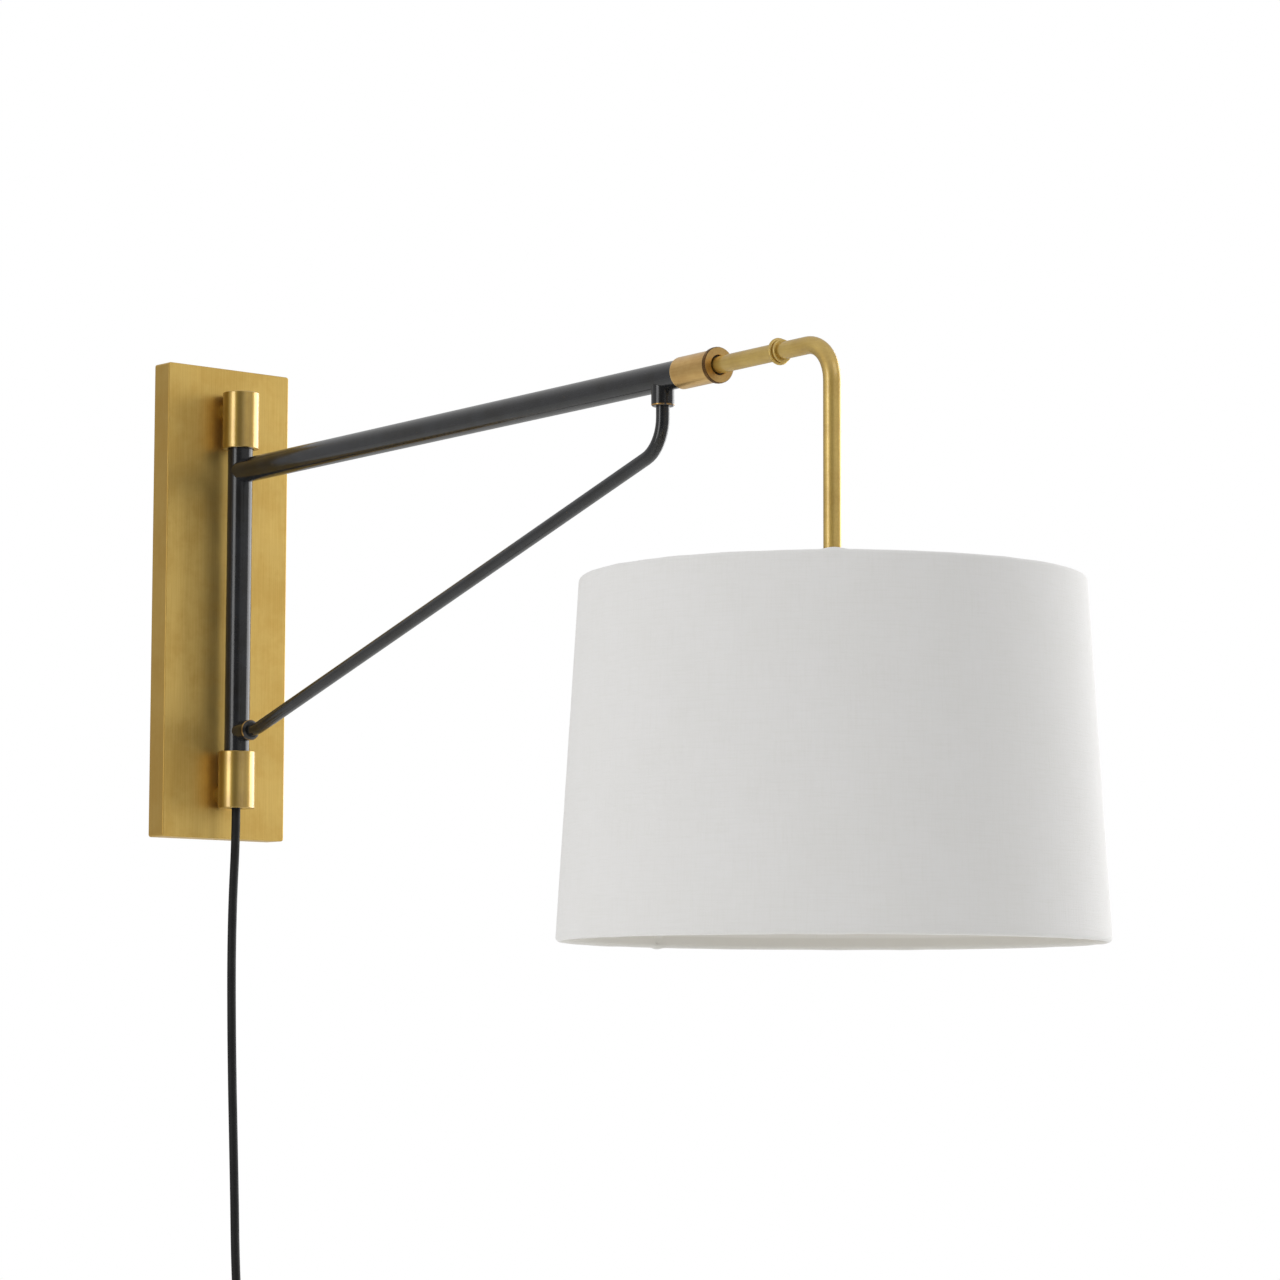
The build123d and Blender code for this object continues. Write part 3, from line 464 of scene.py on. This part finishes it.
def screen(red, green, blue):
    """A colour given as it looks on a screen, 0 to 255, as the linear values that a shader takes."""
    parts = (red / 255, green / 255, blue / 255)
    return (*(((part + 0.055) / 1.055) ** 2.4 for part in parts), 1.0)


def feed(tree, socket, value):
    """Links another node's output to a socket, or sets the socket's own value."""
    if isinstance(value, bpy.types.NodeSocket):
        tree.links.new(value, socket)
    else:
        socket.default_value = value


def add_node(tree, kind, inputs, settings):
    """A new node with these settings, its inputs fed by values or by other nodes."""
    made = tree.nodes.new(kind)
    for name, value in settings.items():
        setattr(made, name, value)
    for socket, value in inputs.items():
        feed(tree, made.inputs[socket], value)
    return made


class Paint:
    """A material, and short calls that add nodes to it. Places are the object's own coordinates."""

    def __init__(self, name, colour, metallic=0.0, roughness=0.5):
        self.material = bpy.data.materials.new(name)
        self.material.use_nodes = True
        self.tree = self.material.node_tree
        self.shader = self.tree.nodes["Principled BSDF"]
        self.shader.inputs["Base Color"].default_value = colour
        self.shader.inputs["Metallic"].default_value = metallic
        self.shader.inputs["Roughness"].default_value = roughness
        self.place = self.node("ShaderNodeTexCoord", {}).outputs["Object"]

    def node(self, kind, inputs, **settings):
        return add_node(self.tree, kind, inputs, settings)

    def math(self, operation, first, second=0.0, third=0.0):
        inputs = {0: first, 1: second, 2: third}
        return self.node("ShaderNodeMath", inputs, operation=operation).outputs[0]

    def stretched(self, scale, turn=0.0, place=None):
        """Places scaled along X, Y and Z, after a turn about Z."""
        inputs = {"Vector": place or self.place, "Rotation": (0, 0, turn), "Scale": scale}
        return self.node("ShaderNodeMapping", inputs).outputs["Vector"]

    def noise(self, place, scale=1.0, detail=3.0, rough=0.5):
        inputs = {"Vector": place, "Scale": scale, "Detail": detail, "Roughness": rough}
        return self.node("ShaderNodeTexNoise", inputs).outputs["Fac"]

    def band(self, value, low, high, start=0.0, end=1.0):
        """A value between low and high, spread smoothly over start to end."""
        inputs = {"Value": value, "From Min": low, "From Max": high, "To Min": start, "To Max": end}
        made = self.node("ShaderNodeMapRange", inputs, interpolation_type="SMOOTHSTEP")
        return made.outputs["Result"]

    def blend(self, share, first, second):
        """Two colours mixed by a share from 0 to 1."""
        return self.node("ShaderNodeMix", {0: share, 6: first, 7: second}, data_type="RGBA").outputs[2]

    def reach(self, axis_point, axis):
        """How far each place lies along an axis from a point on it."""
        shifted = self.node("ShaderNodeVectorMath", {0: self.place, 1: axis_point}, operation="SUBTRACT")
        dot = self.node("ShaderNodeVectorMath", {0: shifted.outputs[0], 1: axis}, operation="DOT_PRODUCT")
        return dot.outputs["Value"]

    def bumped(self, height, distance, strength):
        """A normal tilted by the slopes of a height."""
        inputs = {"Height": height, "Distance": distance, "Strength": strength}
        return self.node("ShaderNodeBump", inputs).outputs["Normal"]

    def set(self, socket, value):
        feed(self.tree, self.shader.inputs[socket], value)


def brushed_metal(name, light, dark, grain, rough, mottle=28.0, turn=0.0, relief=0.02 * mm, cloud=0.75):
    """Metal with cloudy colour and a fine grain; grain is how tightly it repeats along X, Y and Z."""
    paint = Paint(name, light, metallic=1.0)
    lines = paint.noise(paint.stretched(grain, turn), detail=2.0, rough=0.5)
    clouds = paint.noise(paint.place, scale=mottle, detail=5.0, rough=0.62)
    cloudy = paint.band(clouds, 0.35, 0.68, 0.0, cloud)
    share = paint.math("ADD", cloudy, paint.band(lines, 0.3, 0.7, 0.0, 0.25))
    paint.colour = paint.blend(share, light, dark)
    paint.set("Base Color", paint.colour)
    smudges = paint.noise(paint.place, scale=mottle * 2, detail=3.0, rough=0.5)
    smeared = paint.band(smudges, 0.3, 0.7, -0.02, 0.03)
    spread = paint.math("ADD", paint.band(lines, 0.3, 0.7, -0.01, 0.01), smeared)
    paint.set("Roughness", paint.math("ADD", spread, rough))
    paint.set("Normal", paint.bumped(lines, relief, 0.5))
    return paint


along_z = (1500.0, 1500.0, 24.0)    # grain that runs up and down
along_arm = (900.0, 14.0, 900.0)    # grain that runs along the arm
sleeve_start = 561.4 * mm   # reaches are along the arm, from the hinge
foot_reach = 21.8 * mm
foot_low = -85.0 * mm
boss_reach = 540.6 * mm
boss_bottom = 79.2 * mm


def make_plate_brass():
    """Browner on the pan's sides than on its face: painted shade on the side faces."""
    light, dark = screen(207, 176, 102), screen(178, 142, 70)
    paint = brushed_metal("plate_brass", light, dark, along_z, 0.42, relief=0.012 * mm, cloud=0.45)
    half_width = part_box("backplate")[1][0]
    beside = paint.node("ShaderNodeSeparateXYZ", {0: paint.place}).outputs[0]
    from_middle = paint.math("ABSOLUTE", beside)
    # the pan's sides are painted darker and browner: painted shade
    side = paint.band(from_middle, half_width - 1.0 * mm, half_width - 0.2 * mm, 0.0, 0.45)
    paint.set("Base Color", paint.blend(side, paint.colour, screen(176, 138, 66)))
    return paint


def lacquered(paint, weight, rough):
    """A thin clear lacquer, which puts a paler highlight over the metal's own."""
    paint.set("Coat Weight", weight)
    paint.set("Coat IOR", 1.65)
    paint.set("Coat Roughness", rough)
    return paint


def make_barrel_brass():
    light, dark = screen(186, 155, 74), screen(156, 123, 51)
    paint = brushed_metal("barrel_brass", light, dark, along_z, 0.36, relief=0.001 * mm, cloud=0.6)
    return lacquered(paint, 1.0, 0.13)


def make_sleeve_brass():
    """Darker in the knurl of the lock ring, with a painted highlight on the sleeve's first edge."""
    light, dark = screen(212, 176, 112), screen(180, 138, 80)
    paint = brushed_metal("sleeve_brass", light, dark, along_arm, 0.32, 50.0, -arm_turn, 0.001 * mm, 0.5)
    reach = paint.reach(ring_centre, arm_out)
    away = paint.node("ShaderNodeVectorMath", {0: paint.place, 1: ring_centre}, operation="DISTANCE")
    distance = away.outputs["Value"]
    away_square = paint.math("MULTIPLY", distance, distance)
    radius_square = paint.math("SUBTRACT", away_square, paint.math("MULTIPLY", reach, reach))
    radius = paint.math("SQRT", paint.math("MAXIMUM", radius_square, 0.0))
    # a pale ring on the sleeve's first edge: a painted highlight
    edge = paint.math("ABSOLUTE", paint.math("SUBTRACT", reach, sleeve_start + 0.35 * mm))
    pale = paint.blend(paint.band(edge, 0.2 * mm, 0.8 * mm, 0.7, 0.0), paint.colour, screen(240, 216, 170))
    past_root = paint.band(radius, ring_radius - 0.7 * mm, ring_radius - 0.45 * mm)
    below_crest = paint.band(radius, ring_radius - 0.3 * mm, ring_radius + 0.05 * mm, 1.0, 0.25)
    in_knurl = paint.math("MULTIPLY", past_root, below_crest)
    paint.set("Base Color", paint.blend(in_knurl, pale, screen(70, 48, 28)))
    return paint


def make_rod_brass():
    light, dark = screen(206, 177, 98), screen(182, 150, 76)
    paint = brushed_metal("rod_brass", light, dark, along_arm, 0.5, 40.0, -arm_turn, 0.0005 * mm, 0.5)
    paint.set("Specular Tint", (0.45, 0.36, 0.22, 1.0))
    return lacquered(paint, 0.7, 0.16)


def make_dark_bronze():
    """Dark gunmetal paint, rubbed through to brass on the foot's and the boss's edges."""
    paint = Paint("dark_bronze", screen(30, 31, 33), roughness=0.15)
    clouds = paint.noise(paint.place, scale=55.0, detail=5.0, rough=0.6)
    tone = paint.blend(paint.band(clouds, 0.35, 0.7), screen(33, 34, 37), screen(22, 21, 20))
    reach = paint.reach(ring_centre, arm_out)
    parts = paint.node("ShaderNodeSeparateXYZ", {0: paint.place}).outputs
    wander = paint.noise(paint.place, scale=420.0, detail=3.0)
    chips = paint.noise(paint.place, scale=900.0, detail=2.0)
    low = paint.band(parts[2], foot_low, foot_low + 1 * mm, 1.0, 0.0)
    foot_edge = paint.math("ABSOLUTE", paint.math("SUBTRACT", reach, foot_reach - 2.0 * mm))
    foot = paint.math("MULTIPLY", paint.band(foot_edge, 0.15 * mm, 0.65 * mm, 1.0, 0.0), low)
    boss_edge = paint.math("ABSOLUTE", paint.math("SUBTRACT", parts[2], boss_bottom + 0.8 * mm))
    near_boss = paint.math("ABSOLUTE", paint.math("SUBTRACT", reach, boss_reach))
    by_boss = paint.band(near_boss, 7.0 * mm, 9.0 * mm, 1.0, 0.0)
    boss = paint.math("MULTIPLY", paint.band(boss_edge, 0.15 * mm, 0.6 * mm, 1.0, 0.0), by_boss)
    worn = paint.math("MULTIPLY", paint.math("MAXIMUM", foot, boss), paint.band(wander, 0.35, 0.5))
    specks = paint.math("MULTIPLY", paint.band(chips, 0.74, 0.78), 0.35)
    bare = paint.math("MAXIMUM", worn, specks)
    paint.set("Base Color", paint.blend(bare, tone, screen(170, 132, 74)))
    paint.set("Metallic", paint.math("MULTIPLY", worn, 0.9))
    smudges = paint.noise(paint.place, scale=160.0, detail=4.0)
    paint.set("Roughness", paint.band(smudges, 0.3, 0.7, 0.14, 0.2))
    skin = paint.noise(paint.place, scale=700.0, detail=3.0)
    paint.set("Normal", paint.bumped(skin, 0.002 * mm, 0.5))
    return paint


def make_steel():
    return brushed_metal("steel", screen(190, 190, 188), screen(150, 150, 150), along_z, 0.3, 200.0)


def make_holder_brass():
    return brushed_metal("holder_brass", screen(214, 180, 110), screen(172, 136, 76), along_z, 0.3, 60.0)


def make_contact_brass():
    return brushed_metal("contact_brass", screen(222, 196, 130), screen(190, 160, 96), along_z, 0.28, 90.0)


def make_bulb_metal():
    return brushed_metal("bulb_metal", screen(205, 204, 200), screen(170, 168, 164), along_z, 0.3, 90.0)


def moulded(name, colour, rough, grain=1500.0, depth=0.03 * mm):
    """Moulded plastic or rubber, with a fine skin and a slightly uneven gloss."""
    paint = Paint(name, colour, roughness=rough)
    skin = paint.noise(paint.place, scale=grain, detail=2.0)
    smudges = paint.noise(paint.place, scale=60.0, detail=4.0)
    paint.set("Roughness", paint.band(smudges, 0.3, 0.7, rough - 0.06, rough + 0.08))
    paint.set("Normal", paint.bumped(skin, depth, 0.5))
    return paint


def make_cord_black():
    paint = moulded("cord_black", screen(9, 9, 9), 0.6)
    paint.set("Specular IOR Level", 0.3)
    return paint


def make_tie_black():
    return moulded("tie_black", screen(26, 26, 27), 0.8, 900.0, 0.2 * mm)


def make_plug_black():
    return moulded("plug_black", screen(22, 22, 23), 0.45)


def make_black_nylon():
    return moulded("black_nylon", screen(24, 24, 24), 0.5)


def make_phenolic():
    return moulded("phenolic", screen(38, 28, 22), 0.4)


def make_bulb_plastic():
    return moulded("bulb_plastic", screen(236, 236, 232), 0.4)


def make_bulb_glass():
    paint = moulded("bulb_glass", screen(244, 242, 236), 0.18, 300.0, 0.01 * mm)
    paint.set("Subsurface Weight", 0.4)
    paint.set("Subsurface Radius", (0.01, 0.01, 0.01))
    paint.set("Coat Weight", 0.5)
    return paint


def make_white_wire():
    return moulded("white_wire", screen(226, 224, 218), 0.4, 900.0, 0.05 * mm)


shade_girth = 2 * pi * 160.7 * mm


def cloth(name, light, dark, pitch, depth):
    """Plain weave round the shade: threads run up it and round it, thicker here and there. The turned-in
    folds are painted darker, as painted shade.
    """
    paint = Paint(name, light, roughness=0.95)
    parts = paint.node("ShaderNodeSeparateXYZ", {0: paint.place}).outputs
    beside = paint.math("SUBTRACT", parts[0], lamp_x)
    before = paint.math("SUBTRACT", lamp_y, parts[1])
    turn = paint.math("ARCTAN2", beside, before)
    around = paint.math("MULTIPLY", turn, shade_girth / (2 * pi))
    flat = paint.node("ShaderNodeCombineXYZ", {0: around, 1: parts[2]}).outputs[0]
    wander = paint.noise(flat, scale=260.0, detail=2.0)
    wavy = paint.math("MULTIPLY", wander, 0.9 * pitch)
    warp = paint.math("MULTIPLY", paint.math("ADD", around, wavy), pi / pitch)
    weft = paint.math("MULTIPLY", paint.math("ADD", parts[2], wavy), pi / pitch)
    warp_wave, weft_wave = paint.math("SINE", warp), paint.math("SINE", weft)
    over = paint.math("MULTIPLY_ADD", paint.math("MULTIPLY", warp_wave, weft_wave), 0.5, 0.5)
    warp_lift = paint.math("MULTIPLY", paint.math("ABSOLUTE", warp_wave), over)
    weft_lift = paint.math("MULTIPLY", paint.math("ABSOLUTE", weft_wave), paint.math("SUBTRACT", 1.0, over))
    lift = paint.math("ADD", warp_lift, weft_lift)
    upright = paint.noise(paint.stretched((900.0, 45.0, 1.0), place=flat), detail=3.0, rough=0.6)
    level = paint.noise(paint.stretched((45.0, 900.0, 1.0), place=flat), detail=3.0, rough=0.6)
    level_slubs = paint.band(level, 0.42, 0.75, 0.0, 0.5)
    slubs = paint.math("ADD", paint.band(upright, 0.42, 0.75, 0.0, 0.5), level_slubs)
    clouds = paint.noise(flat, scale=25.0, detail=4.0)
    share = paint.math("ADD", paint.math("MULTIPLY", slubs, 0.75), paint.band(clouds, 0.3, 0.7, 0.0, 0.25))
    cloth_colour = paint.blend(share, light, dark)
    # the cloth turned in at the top and bottom is painted darker: painted shade inside the lampshade
    top_fold, bottom_fold = shade_top - fold_length, shade_bottom + fold_length
    hem_top = paint.band(parts[2], top_fold - 1 * mm, top_fold + 1 * mm)
    hem_bottom = paint.band(parts[2], bottom_fold - 1 * mm, bottom_fold + 1 * mm, 1.0, 0.0)
    radius_square = paint.math("MULTIPLY_ADD", beside, beside, paint.math("MULTIPLY", before, before))
    radius = paint.math("SQRT", radius_square)
    cone = paint.math("MULTIPLY_ADD", parts[2], -shade_slope, wall_radius(0.0))
    folded = paint.band(paint.math("SUBTRACT", cone, radius), 2.2 * mm, 3.4 * mm)
    fold_painted_shade = paint.math("MULTIPLY", paint.math("MAXIMUM", hem_top, hem_bottom), folded)
    paint.set("Base Color", paint.blend(fold_painted_shade, cloth_colour, screen(218, 216, 212)))
    height = paint.math("ADD", lift, paint.math("MULTIPLY", slubs, 1.6))
    paint.set("Normal", paint.bumped(height, depth, 0.8))
    paint.set("Sheen Weight", 0.15)
    return paint


def make_linen():
    return cloth("linen", screen(232, 231, 230), screen(227, 226, 223), 0.55 * mm, 0.06 * mm)


def make_linen_hem():
    return cloth("linen_hem", screen(234, 234, 230), screen(218, 216, 210), 0.55 * mm, 0.12 * mm)


def make_shade_lining():
    paint = moulded("shade_lining", screen(238, 234, 222), 0.45, 400.0, 0.03 * mm)
    paint.set("Subsurface Weight", 0.2)
    paint.set("Subsurface Radius", (0.004, 0.004, 0.004))
    return paint


slot_paints = {
    "plate_brass": make_plate_brass,
    "barrel_brass": make_barrel_brass,
    "sleeve_brass": make_sleeve_brass,
    "rod_brass": make_rod_brass,
    "dark_bronze": make_dark_bronze,
    "steel": make_steel,
    "black_nylon": make_black_nylon,
    "cord_black": make_cord_black,
    "tie_black": make_tie_black,
    "plug_black": make_plug_black,
    "contact_brass": make_contact_brass,
    "holder_brass": make_holder_brass,
    "phenolic": make_phenolic,
    "bulb_metal": make_bulb_metal,
    "bulb_plastic": make_bulb_plastic,
    "bulb_glass": make_bulb_glass,
    "linen": make_linen,
    "linen_hem": make_linen_hem,
    "shade_lining": make_shade_lining,
    "white_wire": make_white_wire,
}
paints = {name: make().material for name, make in slot_paints.items()}


def wear(piece, material):
    """Gives a piece one material all over."""
    piece.data.materials.clear()
    piece.data.materials.append(material)


def dress_cad_nodes():
    """Every CAD node takes the material of its own slot in the record."""
    for part in frame["record"]["subparts"]:
        wear(frame["nodes"][part["node"]], paints[part["material_slot"]])


dress_cad_nodes()
wear(power_cord, paints["cord_black"])
wear(linen_cover, paints["linen"])
wear(knurled_ring, paints["sleeve_brass"])
wear(plug_moulding, paints["plug_black"])
wear(coil_strap, paints["tie_black"])

# --- light, world and floor -----------------------------------------------------------------

rig_middle = Vector((lamp_x / 2, lamp_y / 2, -0.05))


def softbox(name, azimuth, elevation, distance, width, height, radiance):
    """A flat studio light facing the object, as bright as its radiance says. Angles in degrees."""
    data = bpy.data.lights.new(name, "AREA")
    data.shape = "RECTANGLE"
    data.size = width
    data.size_y = height
    data.energy = radiance * pi * width * height
    light = bpy.data.objects.new(name, data)
    bpy.context.scene.collection.objects.link(light)
    way = direction(radians(azimuth), radians(elevation))
    light.location = rig_middle + way * distance
    light.rotation_euler = way.to_track_quat("Z", "Y").to_euler()


softbox("key_right", 87, 6, 1.9, 1.8, 1.6, 3.4)
softbox("strip_left", -93, 3, 2.4, 1.0, 1.5, 3.1)
softbox("front_fill", 8, 30, 3.0, 1.8, 1.2, 1.2)

dark_azimuth = -51.0        # the middle of the dark part, degrees, 0 being the room side
dark_half = 24.0
dark_soft = 12.0            # degrees each side over which the dark part fades
grey_level = 0.56
dark_level = 0.15
steep_level = 0.82          # straight up and straight down
horizon_start, horizon_end = 0.25, 0.6      # height of a direction at which the horizon gives way


def make_world():
    """A white room that the camera sees, and a dimmer one that lights the object: pale above and
    below, grey round the horizon and dark near the camera."""
    world = bpy.data.worlds.new("studio")
    bpy.context.scene.world = world
    world.use_nodes = True
    tree = world.node_tree

    def node(kind, inputs, **settings):
        return add_node(tree, kind, inputs, settings)

    def between(value, low, high, start, end):
        inputs = {"Value": value, "From Min": low, "From Max": high, "To Min": start, "To Max": end}
        return node("ShaderNodeMapRange", inputs, interpolation_type="SMOOTHSTEP").outputs["Result"]

    def times(first, second):
        return node("ShaderNodeMath", {0: first, 1: second}, operation="MULTIPLY").outputs[0]

    way = node("ShaderNodeTexCoord", {}).outputs["Generated"]
    parts = node("ShaderNodeSeparateXYZ", {0: way}).outputs
    before = node("ShaderNodeMath", {0: parts[1], 1: -1.0}, operation="MULTIPLY").outputs[0]
    azimuth = node("ShaderNodeMath", {0: parts[0], 1: before}, operation="ARCTAN2").outputs[0]
    from_dark = node("ShaderNodeMath", {0: azimuth, 1: radians(dark_azimuth)}, operation="SUBTRACT")
    off_dark = node("ShaderNodeMath", {0: from_dark.outputs[0]}, operation="ABSOLUTE").outputs[0]
    inner, outer = radians(dark_half - dark_soft), radians(dark_half + dark_soft)
    level = between(off_dark, inner, outer, dark_level, grey_level)
    steep = node("ShaderNodeMath", {0: parts[2]}, operation="ABSOLUTE").outputs[0]
    horizon = between(steep, horizon_start, horizon_end, 1.0, 0.0)
    extra = node("ShaderNodeMath", {0: 1.0, 1: horizon}, operation="SUBTRACT").outputs[0]
    shares = {0: times(level, horizon), 1: times(extra, steep_level)}
    strength = node("ShaderNodeMath", shares, operation="ADD").outputs[0]
    felt = node("ShaderNodeBackground", {"Color": (1, 1, 1, 1), "Strength": strength})
    seen = tree.nodes["Background"]
    seen.inputs["Color"].default_value = (1, 1, 1, 1)
    to_camera = node("ShaderNodeLightPath", {}).outputs["Is Camera Ray"]
    chosen = node("ShaderNodeMixShader", {0: to_camera, 1: felt.outputs[0], 2: seen.outputs[0]})
    feed(tree, tree.nodes["World Output"].inputs["Surface"], chosen.outputs[0])


make_world()
bpy.context.scene.view_settings.view_transform = "Standard"

floor_height = -1.4
floor_half = 4.0


def make_floor():
    signs = [(-1, -1), (1, -1), (1, 1), (-1, 1)]
    data = bpy.data.meshes.new("floor")
    data.from_pydata([(x * floor_half, y * floor_half, floor_height) for x, y in signs], [], [(0, 1, 2, 3)])
    floor = bpy.data.objects.new("floor", data)
    bpy.context.scene.collection.objects.link(floor)
    wear(floor, moulded("floor_paint", screen(238, 238, 236), 0.8).material)


make_floor()
